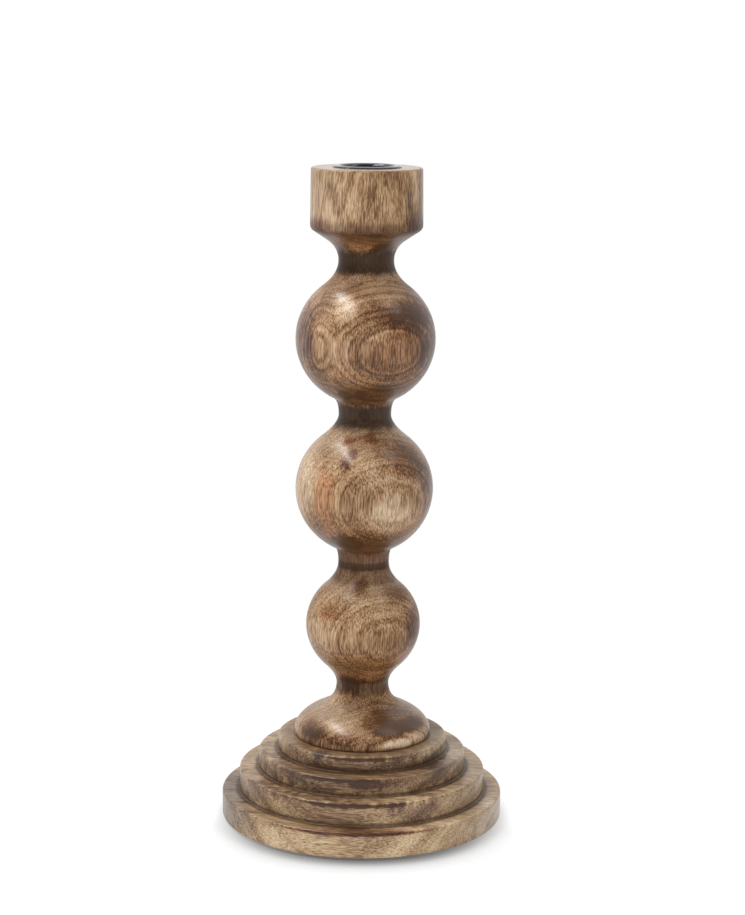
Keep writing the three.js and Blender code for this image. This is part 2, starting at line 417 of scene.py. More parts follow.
stemShape = {
    "sides": 160,
    "beads": [
        {"radius": 0.0263, "halfHeight": 0.0251}, {"radius": 0.0315, "halfHeight": 0.0304},
        {"radius": 0.0317, "halfHeight": 0.0303},
    ],
    "necks": [
        {"radius": 0.012, "rise": 0.0075, "drop": 0.0029, "lowerReach": 0.0081, "upperReach": 0.0061},
        {"radius": 0.0116, "rise": 0.0043, "drop": 0.0041, "lowerReach": 0.006, "upperReach": 0.002},
        {"radius": 0.0119, "rise": 0.0037, "drop": 0.0043, "lowerReach": 0.0078, "upperReach": 0.0029},
        {"radius": 0.0125, "rise": 0.0051, "drop": 0.0057, "lowerReach": 0.0071, "upperReach": 0.0054},
    ],
    "dome": {"radius": 0.0317, "halfHeight": 0.0155, "footHeight": 0.0014, "footTuck": 0.001},
    "head": {
        "footRadius": 0.0254, "topRadius": 0.0251, "coneSlope": 0.66,
        "footRound": 0.0018, "topRound": 0.0012,
    },
    "tenonRadius": 0.0125, "tenonChamfer": 0.001, "pilotRadius": 0.0028, "boreRadius": 0.0127,
    "spaceUnderCup": 0.0011, "skinFrom": 0.0115, "outOfRound": 0.00004,
}
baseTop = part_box("base")[1][2]
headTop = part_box("stem")[1][2]
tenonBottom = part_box("stem")[0][2]
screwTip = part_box("stem_screw")[1][2]
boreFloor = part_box("candle_cup")[0][2] - stemShape["spaceUnderCup"]


def waistHeights(shape, foot):
    # heights of the bead centres and of the neck waists, stacked from the dome up
    dome, necks = shape["dome"], shape["necks"]
    waists = [foot + dome["footHeight"] + dome["halfHeight"] + necks[0]["rise"]]
    centres = []
    for bead, below, above in zip(shape["beads"], necks, necks[1:]):
        centres.append(waists[-1] + below["drop"] + bead["halfHeight"])
        waists.append(centres[-1] + bead["halfHeight"] + above["rise"])
    return centres, waists


def stemOutline(shape):
    # rows from the pilot hole in the tenon, over the dome, beads and head, and down the bore to its floor
    dome, necks, head = shape["dome"], shape["necks"], shape["head"]
    tenon, chamfer, pilot = shape["tenonRadius"], shape["tenonChamfer"], shape["pilotRadius"]
    centres, waists = waistHeights(shape, baseTop)
    domeCentre = baseTop + dome["footHeight"]
    domeAngle = math.acos((necks[0]["radius"] + necks[0]["lowerReach"]) / dome["radius"])
    domeFoot = (dome["radius"] - dome["footTuck"], baseTop)
    runs = [
        [(0, screwTip), (pilot, screwTip), (pilot, tenonBottom), (tenon - chamfer, tenonBottom)],
        straight((tenon, tenonBottom + chamfer), (tenon, baseTop), 8),
        straight((tenon, baseTop), domeFoot, 5),
        bend(domeFoot, (dome["radius"], baseTop), (dome["radius"], domeCentre), 9),
        ovalRun(dome, domeCentre, 0, domeAngle, 34),
        coveRun(dome, domeCentre, domeAngle, necks[0]["radius"], waists[0], 18),
    ]
    for bead, centre, below, above, lowWaist, highWaist in zip(
        shape["beads"], centres, necks, necks[1:], waists, waists[1:]
    ):
        lowAngle = -math.acos((below["radius"] + below["upperReach"]) / bead["radius"])
        highAngle = math.acos((above["radius"] + above["lowerReach"]) / bead["radius"])
        runs.append(coveRun(bead, centre, lowAngle, below["radius"], lowWaist, 16)[::-1])
        runs.append(ovalRun(bead, centre, lowAngle, highAngle, 64))
        runs.append(coveRun(bead, centre, highAngle, above["radius"], highWaist, 18))
    neck = necks[-1]
    spring = waists[-1] + neck["drop"]
    foot = (head["footRadius"], spring + head["coneSlope"] * (head["footRadius"] - neck["radius"]))
    inset = head["footRound"] / math.hypot(1, head["coneSlope"])
    footIn = (foot[0] - inset, foot[1] - inset * head["coneSlope"])
    footUp = (foot[0], foot[1] + head["footRound"])
    hollow = (neck["radius"] + neck["upperReach"], spring + head["coneSlope"] * neck["upperReach"])
    lip = (head["topRadius"], headTop - head["topRound"])
    rim = (head["topRadius"] - head["topRound"], headTop)
    bore = (shape["boreRadius"], headTop)
    runs += [
        bend((neck["radius"], waists[-1]), (neck["radius"], spring), hollow, 20),
        straight(hollow, footIn, 10),
        bend(footIn, foot, footUp, 10),
        straight(footUp, lip, 24),
        bend(lip, (head["topRadius"], headTop), rim, 9),
        straight(rim, bore, 8),
        straight(bore, (shape["boreRadius"], boreFloor), 6),
        [(0, boreFloor)],
    ]
    return joinRuns(*runs)


handTool = {
    "waves": [
        {"turns": 2, "drift": 70, "lag": 0.0, "share": 1.0},
        {"turns": 3, "drift": -113, "lag": 1.3, "share": 0.6},
    ],
    "fadeFrom": 0.013, "fadeWidth": 0.01,
}


def handTurned(amount):
    # a hand-held tool leaves the work a hair out of round: waves round the axis that drift with height,
    # taken off the radius, and fading out towards the bores
    def form(radius, height, angle):
        fade = np.clip((radius - handTool["fadeFrom"]) / handTool["fadeWidth"], 0, 1)
        cut = 0.0
        for wave in handTool["waves"]:
            swing = np.sin(wave["turns"] * angle + wave["drift"] * height + wave["lag"])
            cut += wave["share"] * (1 - swing)
        return radius - amount * cut * fade, height
    return form


stemRows = stemOutline(stemShape)
stemSkin = stemRows[: np.argmax(stemRows[:, 1]) + 1]
stemSkin = stemSkin[stemSkin[:, 0] > stemShape["skinFrom"]]


def mark(azimuth, height, *look, **edge):
    # blotch on the stem's skin, at degrees to the right of the front and millimetres up
    radius = 1000 * np.interp(height / 1000, stemSkin[:, 1], stemSkin[:, 0])
    turn = math.radians(azimuth)
    return blotch((radius * math.sin(turn), -radius * math.cos(turn), height), *look, **edge)


stemWood = {
    "pith": (-16.7, 35.9, 190), "grainLine": (0.037, -0.079, 0.996),
    "sway": 2.2, "swayNoise": (0.035, 2.0, 0.5, 0.35), "waver": 0.16,
    "swells": [{"at": -7.6, "half": 11.0, "rise": 7.2, "heights": (12, 22)}],
    # groups of growth lines: distance from the pith, half width and darkness, and the heights of coming in
    "growth": [
        {"heights": (0, 1), "lines": [
            (82.6, 0.8, 0.24), (79.0, 1.0, 0.14), (75.6, 0.9, 0.14), (70.3, 0.6, 0.07), (68.2, 0.6, 0.1),
            (66.8, 0.5, 0.1), (65.0, 1.1, 0.1), (62.9, 0.7, 0.12), (60.6, 0.8, 0.1), (58.0, 0.8, 0.09),
            (55.4, 0.8, 0.08),
        ]},
        {"heights": (195, 203), "lines": [
            (67.2, 0.3, 0.07), (65.9, 0.42, 0.15), (64.7, 0.4, 0.08), (63.2, 0.54, 0.15), (61.4, 0.6, 0.12),
        ]},
    ],
    "ringScale": 0.5, "ringHeights": (185, 210), "ringDark": (0.15, 0.26), "fibreDark": 0.44,
    # painted light on faces that look up (none here); painted shade with a warm painted bounce light on
    # faces that look down
    "paintedTopLight": 0.0, "topCoat": 0.46, "endShare": 0.3, "endTone": tone(112, 80, 56),
    "underShadeDark": 0.26, "underBounceTint": 0.5, "underBounceTone": tone(118, 75, 34),
    "tones": [
        (0.0, tone(226, 203, 174)), (0.2, tone(206, 178, 146)), (0.48, tone(170, 134, 98)),
        (0.76, tone(120, 83, 50)), (1.0, tone(72, 45, 26)),
    ],
    "poreTone": tone(68, 44, 27),
    # from the head down to the dome
    "spots": [
        blotch((0, 0, 290), (33, 33, 16), 0.0, 0.42, (174, 136, 90)),
        mark(-48, 289, (12, 12, 16), 0.03, 0.35, (180, 156, 132)),
        mark(4, 290, (14, 10, 16), -0.04),
        mark(36, 281, (1.6, 3, 9), 0.14),
        mark(48, 286, (1.6, 3, 13), 0.1),
        mark(70, 288, (1.8, 3.4, 13), 0.18),
        mark(42, 290, (1.6, 2.6, 9), -0.14),
        mark(56, 291, (1.6, 2.6, 9), -0.06),
        mark(14, 294, (1.8, 3, 8), -0.14),
        mark(-66, 275.6, (9, 12, 4.6), 0.26, 0.4, (104, 66, 56), ragged=0.6),
        mark(68, 276.6, (9, 13, 6), 0.27, 0.4, (104, 62, 52), ragged=0.6),
        mark(16, 275.5, (8, 8, 3.6), 0.2),
        mark(30, 265.5, (6, 8, 3.5), 0.45),
        mark(-4, 267.5, (10, 8, 3), -0.24),
        blotch((0, 0, 224), (44, 44, 30), 0.05, 0.25, (150, 110, 84)),
        mark(50, 221, (8, 8, 8), 0.2, 0.35, (130, 78, 52), ragged=0.4),
        mark(42, 236, (14, 13, 9), 0.34, 0.45, (108, 68, 42), ragged=0.5),
        mark(60, 240, (11, 12, 8), 0.26, 0.4, (112, 72, 46), ragged=0.4),
        mark(22, 238, (13, 10, 6), 0.22, 0.4, (116, 78, 54), ragged=0.5),
        # painted shade on bead 1's left limb
        mark(-68, 228, (8, 13, 18), 0.3, 0.45, (112, 84, 78)),
        # painted shade on bead 1's right limb
        mark(76, 226, (9, 14, 17), 0.36, 0.4, (112, 84, 78)),
        mark(25, 220, (14, 10, 10), 0.3, 0.3, (150, 98, 66), ragged=0.3),
        mark(-19, 220, (6, 8, 13), -0.24, ragged=0.4),
        mark(-34, 222, (7, 7, 14), -0.16),
        mark(-12, 209.5, (14, 10, 6), -0.2),
        mark(-45, 241, (8, 8, 6), 0.08),
        # painted highlight: lighter where the top softbox's highlight falls on bead 1
        mark(-20, 241, (6, 7, 7), -0.42),
        mark(-26, 200.8, (3.4, 5, 2.6), 0.75, ragged=0.4),
        mark(-5, 201.6, (2.6, 5, 2.6), 0.6, ragged=0.5),
        mark(22, 205, (8, 6, 2.0), 0.2),
        mark(0, 191, (3, 3, 3), 0.5),
        mark(-22, 180, (3, 3, 2.6), 0.24, 0.45, (140, 72, 44)),
        mark(10, 181, (3.4, 3, 2.6), 0.2, 0.4, (130, 72, 48)),
        mark(-34, 155, (6, 8, 17), 0.08, 0.5, (168, 106, 64)),
        mark(-13, 175, (2.4, 3, 5), 0.42, 0.4, (120, 70, 50)),
        mark(-19, 171, (2.8, 3, 3.6), 0.52, 0.4, (130, 80, 66)),
        mark(-58, 158, (13, 14, 17), -0.22),
        mark(-48, 172, (9, 9, 6), 0.14),
        mark(-7, 160, (7, 8, 14), 0.14, ragged=0.5),
        mark(24, 147, (13, 10, 9), -0.32, 0.35, (180, 158, 132)),
        mark(46, 172, (14, 12, 9), 0.34, 0.4, (118, 76, 44)),
        # painted shade on bead 2's right limb
        mark(72, 156, (8, 13, 16), 0.28, 0.35, (112, 84, 76), ragged=0.4),
        mark(-22, 134, (8, 8, 5), 0.45, 0.4, (130, 76, 40)),
        mark(-5, 112, (3.4, 4, 5), 0.34),
        mark(-40, 101, (6, 6, 4), 0.14, 0.35, (150, 92, 62), ragged=0.5),
        mark(58, 108, (10, 10, 5), 0.3, ragged=0.4),
        mark(12, 92, (14, 10, 10), 0.05),
        mark(-40, 91, (8, 9, 10), -0.16),
        mark(42, 92, (9, 9, 11), 0.16),
        # painted shade on bead 3's right limb
        mark(70, 93, (7, 12, 14), 0.36, 0.35, (104, 80, 72), ragged=0.4),
        # painted shade with a warm painted bounce light low on the front of bead 2
        blotch((0, -20, 131), (24, 14, 7), 0.2, 0.3, (112, 70, 34)),
        mark(-24, 66, (7, 6, 5), 0.45, 0.4, (120, 66, 36)),
        mark(10, 71, (14, 10, 4), -0.12),
        mark(-58, 53, (14, 14, 5), -0.06, 0.3, (170, 150, 128)),
        # painted highlight: lighter where the highlight falls on the dome
        mark(-28, 49, (6, 7, 4), -0.08),
        mark(-40, 43, (15, 11, 4), 0.36, ragged=0.5),
        mark(-50, 45.8, (12, 12, 3.8), 0.32, ragged=0.5),
        mark(56, 47.8, (13, 13, 3.0), 0.5, ragged=0.5),
        mark(2, 57, (11, 9, 4.5), 0.2, ragged=0.6),
        mark(17, 50, (10, 10, 6), 0.3, ragged=0.5),
        mark(44, 51, (16, 15, 5), 0.26, ragged=0.4),
        mark(-8, 44, (9, 9, 4), 0.22, 0.3, (120, 80, 60)),
        mark(32, 47.4, (10, 9, 2.6), 0.36),
        mark(34, 41.8, (10, 8, 2.2), -0.5),
    ],
    "shadeAndDullHoops": [
        # painted shade at the foot of the head
        shadeAndDullHoop(25.4, 273.6, 4.2, 0.5, (66, 40, 32), 0.5, halfRadius=3.5, ragged=0.6, soft=0.6),
        # painted shade in the necks
        shadeAndDullHoop(12.5, 259.4, 5.4, 0.92, (46, 28, 17)),
        shadeAndDullHoop(11.9, 189.8, 5.6, 0.9, (50, 34, 24)),
        shadeAndDullHoop(11.6, 123.5, 5.0, 0.78, (86, 54, 32)),
        shadeAndDullHoop(11.6, 116.5, 4.0, 0.55, (84, 56, 38)),
        shadeAndDullHoop(11.6, 120.6, 1.7, 0.6, (44, 30, 22)),
        shadeAndDullHoop(12.0, 64.0, 4.2, 0.64, (54, 32, 19)),
        # less lacquer only, no colour
        shadeAndDullHoop(24.0, 100.0, 12.0, 0.0, (92, 60, 38), 0.6),
        shadeAndDullHoop(16.0, 59.0, 5.0, 0.0, (92, 60, 38)),
        shadeAndDullHoop(17.0, 250.5, 4.0, 0.0, (92, 60, 38)),
        # painted shade in the crease at the dome's foot
        shadeAndDullHoop(31.5, 38.4, 2.4, 0.35, (84, 58, 40), 0.5, halfRadius=4.0, ragged=0.8, soft=0.6),
    ],
}

stemForm = handTurned(stemShape["outOfRound"])
stem = turnedPiece("stem_turned", stemRows, stemShape["sides"], stemForm)
place(stem, woodMaterial("upright_grain_wood", stemWood), "stand", "stem")


# Base: four rounded steps, a mortise above, a counterbore and a screw hole below

baseShape = {
    "sides": 224,
    "steps": [
        {"radius": 0.065, "height": 0.0119}, {"radius": 0.0569, "height": 0.0107},
        {"radius": 0.0479, "height": 0.0084}, {"radius": 0.039, "height": 0.0071},
    ],
    "edgeRound": 0.0014, "fillet": 0.0008, "footRound": 0.001, "ledge": 0.003,
    "mortiseRadius": 0.0128, "holeRadius": 0.0028, "counterboreRadius": 0.008, "counterboreDepth": 0.006,
    "web": 0.007, "toolMark": 0.00004, "toolPitch": 0.0016, "outOfRound": 0.00006,
}
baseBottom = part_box("base")[0][2]


def baseOutline(shape):
    # rows out along the underside, with tool marks in a cosine wave of the radius, up the steps,
    # and down the mortise, the screw hole and the counterbore
    counterTop = baseBottom + shape["counterboreDepth"]
    mortiseFloor = counterTop + shape["web"]
    edge = shape["edgeRound"]
    footEdge = shape["steps"][0]["radius"] - shape["footRound"]
    underside = straight((shape["counterboreRadius"], baseBottom), (footEdge, baseBottom), 240)
    sweep = 2 * np.pi * (underside[:, 0] - footEdge) / shape["toolPitch"]
    underside[:, 1] += shape["toolMark"] * (1 - np.cos(sweep))
    runs = [underside]
    bottom = baseBottom
    for level, step in enumerate(shape["steps"]):
        wall, top = step["radius"], bottom + step["height"]
        reach = -shape["footRound"] if level == 0 else shape["fillet"]
        rise = bottom + abs(reach)
        runs += [
            bend((wall + reach, bottom), (wall, bottom), (wall, rise), 7),
            straight((wall, rise), (wall, top - edge), 8),
            bend((wall, top - edge), (wall, top), (wall - edge, top), 12),
            straight((wall - edge, top), (wall - edge - shape["ledge"], top), 4),
        ]
        bottom = top
    runs += [
        [(shape["mortiseRadius"], bottom), (shape["mortiseRadius"], mortiseFloor)],
        [(shape["holeRadius"], mortiseFloor), (shape["holeRadius"], counterTop)],
        [(shape["counterboreRadius"], counterTop), (shape["counterboreRadius"], baseBottom)],
    ]
    return joinRuns(*runs)


# painted shade in the step corners and round the dome's foot
cornerShadeLook = {
    "halfHeight": 1.5, "share": 0.75, "colour": (62, 42, 27),
    "dull": 0.6, "halfRadius": 1.9, "ragged": 0.35, "soft": 0.5,
}
crownShadeLook = {
    "radius": 31.5, "halfHeight": 1.6, "share": 0.55, "colour": (92, 68, 50),
    "dull": 0.6, "halfRadius": 6.5, "ragged": 0.6, "soft": 0.6,
}


def paintedCornerShades(shape):
    # painted shade: a dark hoop in the corner at the foot of each step but the ground one, and round the
    # dome's foot
    corners = []
    floorHeight = 1000 * baseBottom
    for below, step in zip(shape["steps"], shape["steps"][1:]):
        floorHeight += 1000 * below["height"]
        corners.append(shadeAndDullHoop(1000 * step["radius"], floorHeight, **cornerShadeLook))
    crown = floorHeight + 1000 * shape["steps"][-1]["height"]
    return corners + [shadeAndDullHoop(height=crown, **crownShadeLook)]


baseWood = {
    "pith": (0, 0, -26), "grainLine": (0.98, -0.19, 0),
    "sway": 2.4, "swayNoise": (0.04, 2.0, 0.5, 0.35), "waver": 0.5, "swells": [], "growth": [],
    "ringScale": 0.22, "ringHeights": (0, 40), "ringDark": (0.2, 0.2), "fibreDark": 0.38,
    # painted light: faces that look up are made a little lighter
    "paintedTopLight": -0.06, "topCoat": 0.0, "endShare": 0.14, "endTone": tone(120, 96, 72),
    "underShadeDark": 0.0, "underBounceTint": 0.0, "underBounceTone": tone(120, 76, 40),
    "tones": [
        (0.0, tone(226, 202, 168)), (0.2, tone(206, 180, 144)), (0.48, tone(168, 138, 104)),
        (0.76, tone(118, 90, 64)), (1.0, tone(72, 50, 34)),
    ],
    "poreTone": tone(66, 46, 31),
    "spots": [
        blotch((0, -60, 5), (80, 30, 8), -0.1),
        blotch((0, -52, 31), (90, 60, 9), 0.36),
        blotch((-62, -14, 8), (18, 40, 14), 0.3, 0.45, (132, 120, 106)),
        blotch((-44, -24, 24), (16, 24, 9), 0.18),
        blotch((58, -26, 6), (20, 26, 9), -0.14, 0.4, (150, 140, 126)),
        blotch((41, -8, 32), (12, 15, 4), -0.16, 0.3, (150, 136, 120)),
        blotch((34, -26, 34.6), (16, 16, 3.2), 0.2, 0.3, (100, 88, 62)),
        blotch((24, -50, 18), (14, 14, 5), 0.34, 0.25, (112, 88, 84)),
        blotch((-4, -64.6, 12.1), (42, 16, 1.0), 0.55, 0.5, (140, 76, 44), ragged=0.4),
        blotch((-4, -56.5, 22.4), (28, 10, 1.1), 0.6, 0.4, (124, 76, 44), ragged=0.4),
        blotch((-10, -46.8, 30.9), (22, 9, 1.0), 0.55, ragged=0.4),
        blotch((3, -47.6, 29.4), (12, 8, 2.0), 0.34, 0.5, (104, 62, 42)),
        blotch((-2, -38.8, 38.1), (18, 7, 0.9), 0.5, 0.5, (136, 82, 60), ragged=0.4),
        blotch((-19, -33, 38.6), (4, 4, 2.5), 0.42, 0.35, (96, 92, 100)),
    ],
    "shadeAndDullHoops": paintedCornerShades(baseShape),
}

baseForm = handTurned(baseShape["outOfRound"])
base = turnedPiece("base_turned", baseOutline(baseShape), baseShape["sides"], baseForm)
place(base, woodMaterial("level_grain_wood", baseWood), "stand", "base")


# Candle cup: drawn black iron with a slightly crowned flange and a rounded mouth

cupShape = {
    "sides": 128, "wellRadius": 0.0115, "wall": 0.0009, "wellDepth": 0.024, "corner": 0.002,
    "flangeRadius": 0.0155, "flangeEdge": 0.0004, "edgeHeight": 0.0003, "crownTurn": 0.0006,
    "mouthRound": 0.0022,
}
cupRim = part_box("candle_cup")[1][2]


def cupOutline(shape):
    # rows from the middle of the underside, up the wall, over the flange and down the well to its floor
    outer = shape["wellRadius"] + shape["wall"]
    floorTop = cupRim - shape["wellDepth"]
    floorBottom = floorTop - shape["wall"]
    corner, inner, mouth = shape["corner"], shape["corner"] - shape["wall"], shape["mouthRound"]
    well, flange, edge = shape["wellRadius"], shape["flangeRadius"], shape["flangeEdge"]
    lipHeight = headTop + shape["edgeHeight"]
    return joinRuns(
        straight((0, floorBottom), (outer - corner, floorBottom), 5),
        bend((outer - corner, floorBottom), (outer, floorBottom), (outer, floorBottom + corner), 9),
        straight((outer, floorBottom + corner), (outer, headTop), 6),
        straight((outer, headTop), (flange - edge, headTop), 6),
        bend((flange - edge, headTop), (flange, headTop), (flange, lipHeight), 6),
        bend((flange, lipHeight), (flange - shape["crownTurn"], cupRim), (well + mouth, cupRim), 16),
        bend((well + mouth, cupRim), (well, cupRim), (well, cupRim - mouth), 9),
        straight((well, cupRim - mouth), (well, floorTop + inner), 12),
        bend((well, floorTop + inner), (well, floorTop), (well - inner, floorTop), 8),
        straight((well - inner, floorTop), (0, floorTop), 6),
    )


ironLook = {
    "cloudNoise": (0.25, 4.0, 0.6), "cloudEdges": (0.3, 0.7),
    "cloudTones": (tone(8, 8, 9), tone(18, 18, 19)),
    "drawNoise": (1.6, 3.0, 0.6, 0.05), "drawEdges": (0.5, 0.7), "drawShare": 0.5,
    "drawTone": tone(44, 44, 46),
    "speckNoise": (2.2, 2.0, 0.5), "speckEdges": (0.66, 0.74), "speckShare": 0.4,
    "speckTone": tone(60, 58, 58),
    "roughness": (0.14, 0.24), "specular": 0.5, "coat": 0.6, "coatRoughness": 0.12,
    "relief": 0.03, "reliefDepth": 0.0001,
}


def blackIronMaterial(look):
    # near-black clouds with upright draw lines and paler specks, under a thin oiled coat
    material, board = newMaterial("black_iron")
    here = board.millimetres()
    cloud = board.noise(here, *look["cloudNoise"])
    speck = board.noise(here, *look["speckNoise"])
    drawn = board.between(board.noise(here, *look["drawNoise"]), *look["drawEdges"])
    colour = board.ramp(cloud, list(zip(look["cloudEdges"], look["cloudTones"])))
    colour = board.stainedOrShaded(colour, drawn, look["drawShare"], look["drawTone"])
    specks = board.between(speck, *look["speckEdges"])
    colour = board.stainedOrShaded(colour, specks, look["speckShare"], look["speckTone"])
    rough = board.between(cloud, *look["cloudEdges"], *look["roughness"])
    bump = board.bump(speck, look)
    board.output(board.surface(
        Base_Color=colour, Roughness=rough, Normal=bump, Specular_IOR_Level=look["specular"],
        Coat_Weight=look["coat"], Coat_Roughness=look["coatRoughness"],
    ))
    return material


cup = turnedPiece("candle_cup_drawn", cupOutline(cupShape), cupShape["sides"])
place(cup, blackIronMaterial(ironLook), "cup", "candle_cup")


# Screw and washer: zinc-plated steel under the base

screwShape = {
    "sides": 64, "radius": 0.0025, "headRadius": 0.0048, "headHeight": 0.003, "pointLength": 0.005,
    "pitch": 0.0018, "threadDepth": 0.0007, "grooveSharp": 1.4, "threadStart": 0.014, "runIn": 0.002,
    "recessHalfWidth": 0.0006, "recessHalfLength": 0.0024, "recessDepth": 0.0013, "recessSoft": 0.00025,
}
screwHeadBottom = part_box("stem_screw")[0][2]
screwSeat = screwHeadBottom + screwShape["headHeight"]


def screwOutline(shape):
    # rows over the oval crown of the head, in to the shank, and up the shank to the point
    a = np.linspace(-np.pi / 2, 0, 44)
    crown = np.column_stack([shape["headRadius"] * np.cos(a), screwSeat + shape["headHeight"] * np.sin(a)])
    crown[0, 0] = 0
    shoulder = (shape["radius"], screwTip - shape["pointLength"])
    return joinRuns(
        crown,
        straight((shape["headRadius"], screwSeat), (shape["radius"], screwSeat), 5),
        straight((shape["radius"], screwSeat), shoulder, 260),
        straight(shoulder, (0, screwTip), 40),
    )


def screwForm(radius, height, angle):
    # thread: above its start the radius drops from crest to core with the saw wave of height over pitch
    # less the angle's share of a turn; recess: two crossed bars pressed up into the round head
    shape = screwShape
    wave = np.abs(2 * ((height / shape["pitch"] - angle / (2 * np.pi)) % 1) - 1)
    onThread = np.clip((height - shape["threadStart"]) / shape["runIn"], 0, 1) * radius / shape["radius"]
    groove = shape["threadDepth"] * np.clip(shape["grooveSharp"] * (1 - wave), 0, 1) * onThread
    x, y = np.abs(radius * np.cos(angle)), np.abs(radius * np.sin(angle))
    inWidth = [np.clip((shape["recessHalfWidth"] - side) / shape["recessSoft"], 0, 1) for side in (x, y)]
    inLength = [np.clip((shape["recessHalfLength"] - side) / shape["recessSoft"], 0, 1) for side in (y, x)]
    cross = np.maximum(inWidth[0] * inLength[0], inWidth[1] * inLength[1])
    return radius - groove, height + shape["recessDepth"] * cross * (height < screwSeat)


zincLook = {
    "filmNoise": (0.7, 4.0, 0.6), "filmTones": [(0.3, tone(196, 195, 188)), (0.7, tone(222, 223, 222))],
    "spangleScale": 0.9, "spangleEdges": (0.2, 0.9), "spangleShare": 0.25,
    "spangleTone": tone(178, 182, 188),
    "roughness": (0.26, 0.42), "relief": 0.15, "reliefDepth": 0.0001,
}


def zincMaterial(look):
    # bright plate with a cloudy film, toned and dulled by the cells of a spangle
    material, board = newMaterial("zinc_plate")
    here = board.millimetres()
    cells = board.add("TexVoronoi", {"Vector": here, "Scale": look["spangleScale"]}, "Color")
    spangle = board.part(cells, "X")
    film = board.noise(here, *look["filmNoise"])
    colour = board.ramp(film, look["filmTones"])
    reach = board.between(spangle, *look["spangleEdges"])
    colour = board.stainedOrShaded(colour, reach, look["spangleShare"], look["spangleTone"])
    rough = board.between(spangle, 0.0, 1.0, *look["roughness"])
    bump = board.bump(film, look)
    board.output(board.surface(Base_Color=colour, Metallic=1.0, Roughness=rough, Normal=bump))
    return material


washerShape = {"sides": 96, "holeRadius": 0.0028, "edge": 0.00015}


def washerOutline(shape):
    # closed loop of rows round the washer's section, with its four edges rounded
    (_, _, bottom), (outer, _, top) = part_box("screw_washer")
    inner, edge = shape["holeRadius"], shape["edge"]
    return joinRuns(
        straight((inner + edge, bottom), (outer - edge, bottom), 6),
        bend((outer - edge, bottom), (outer, bottom), (outer, bottom + edge), 5),
        bend((outer, top - edge), (outer, top), (outer - edge, top), 5),
        bend((inner + edge, top), (inner, top), (inner, top - edge), 5),
        bend((inner, bottom + edge), (inner, bottom), (inner + edge, bottom), 5),
    )


zinc = zincMaterial(zincLook)
screw = turnedPiece("stem_screw_threaded", screwOutline(screwShape), screwShape["sides"], screwForm)
place(screw, zinc, "stand", "stem_screw")
washer = turnedPiece("screw_washer_pressed", washerOutline(washerShape), washerShape["sides"])
place(washer, zinc, "stand", "screw_washer")


# Felt pads: soft-edged discs, a little ragged where they were punched out

padShape = {
    "count": 4, "sides": 120, "edge": 0.0004,
    "fray": 0.0001, "frayTurns": (23, 9, 61), "frayClimb": 900, "frayPower": 8,
    "lump": 0.00004, "lumpWaves": (2100, 1800),
}


def padOutline(radius, bottom, top, shape):
    # rows from the middle of the lower face, round the edge, to the middle of the upper face
    edge = shape["edge"]
    return joinRuns(
        straight((0, bottom), (radius - edge, bottom), 26),
        bend((radius - edge, bottom), (radius, bottom), (radius, bottom + edge), 7),
        bend((radius, top - edge), (radius, top), (radius - edge, top), 7),
        straight((radius - edge, top), (0, top), 6),
    )


def feltForm(shape, radius, middle, turn):
    # the cut edge frays inwards by sines of many turns, and crossed waves lump the lower face upwards
    broad, slow, fine = shape["frayTurns"]
    across, along = shape["lumpWaves"]

    def form(r, height, angle):
        fray = 2 + np.sin(broad * angle + turn) * np.sin(slow * angle + 2 * turn)
        fray = fray + np.sin(fine * angle + shape["frayClimb"] * height)
        x, y = r * np.cos(angle), r * np.sin(angle)
        lump = 1 + np.sin(across * x + turn) * np.sin(along * y + 3 * turn)
        frayed = r - shape["fray"] * fray * (r / radius) ** shape["frayPower"]
        return frayed, height + shape["lump"] * lump * (height < middle)
    return form


feltLook = {
    "tangleNoise": (1.1, 5.0, 0.72), "hairNoise": (1.0, 3.0, 0.6), "hairShare": 0.5,
    "hairStretches": [(0.25, 3.2, 1), (3.2, 0.25, 1)],
    "tones": [(0.35, tone(52, 40, 30)), (0.55, tone(82, 66, 50)), (0.72, tone(118, 98, 78))],
    "roughness": 0.95, "specular": 0.1, "sheen": 0.25, "sheenRoughness": 0.5,
    "relief": 0.7, "reliefDepth": 0.0004,
}


def feltMaterial(look):
    # a tangle of noise mixed with hairs, which are noise drawn out both ways
    material, board = newMaterial("brown_felt")
    here = board.millimetres()
    tangle = board.noise(here, *look["tangleNoise"])
    hairs = [board.noise(board.stretched(here, way), *look["hairNoise"]) for way in look["hairStretches"]]
    mixture = board.times(board.maths("MAXIMUM", *hairs), look["hairShare"])
    mixture = board.plus(mixture, tangle, 1 - look["hairShare"])
    colour = board.ramp(mixture, look["tones"])
    bump = board.bump(mixture, look)
    board.output(board.surface(
        Base_Color=colour, Roughness=look["roughness"], Normal=bump, Specular_IOR_Level=look["specular"],
        Sheen_Weight=look["sheen"], Sheen_Roughness=look["sheenRoughness"],
    ))
    return material


felt = feltMaterial(feltLook)
for number in range(1, padShape["count"] + 1):
    node = f"felt_pad_{number}"
    (left, near, bottom), (right, far, top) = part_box(node)
    radius = (right - left) / 2
    middle = ((left + right) / 2, (near + far) / 2)
    rows = padOutline(radius, bottom, top, padShape)
    form = feltForm(padShape, radius, (bottom + top) / 2, number)
    pad = turnedPiece(node + "_cut", rows, padShape["sides"], form, middle)
    place(pad, felt, "stand", node)


# Stage: a plain pale floor that keeps the shadow and fades into a white backdrop

floorLook = {
    "half": 6.0, "tone": tone(240, 240, 240), "seenTone": tone(128, 128, 128), "roughness": 0.9,
    "lift": 0.88, "front": 0.07, "flank": 0.03, "side": 0.0, "rear": 0.03, "contactReach": (0.041, 0.006),
    "contactDepth": (0.91, 0.3), "contactStart": (0.58, 0.45), "contactEnd": 0.99, "contactSamples": 16,
    "fadeFrom": 0.1, "fadeTo": 0.3,
}


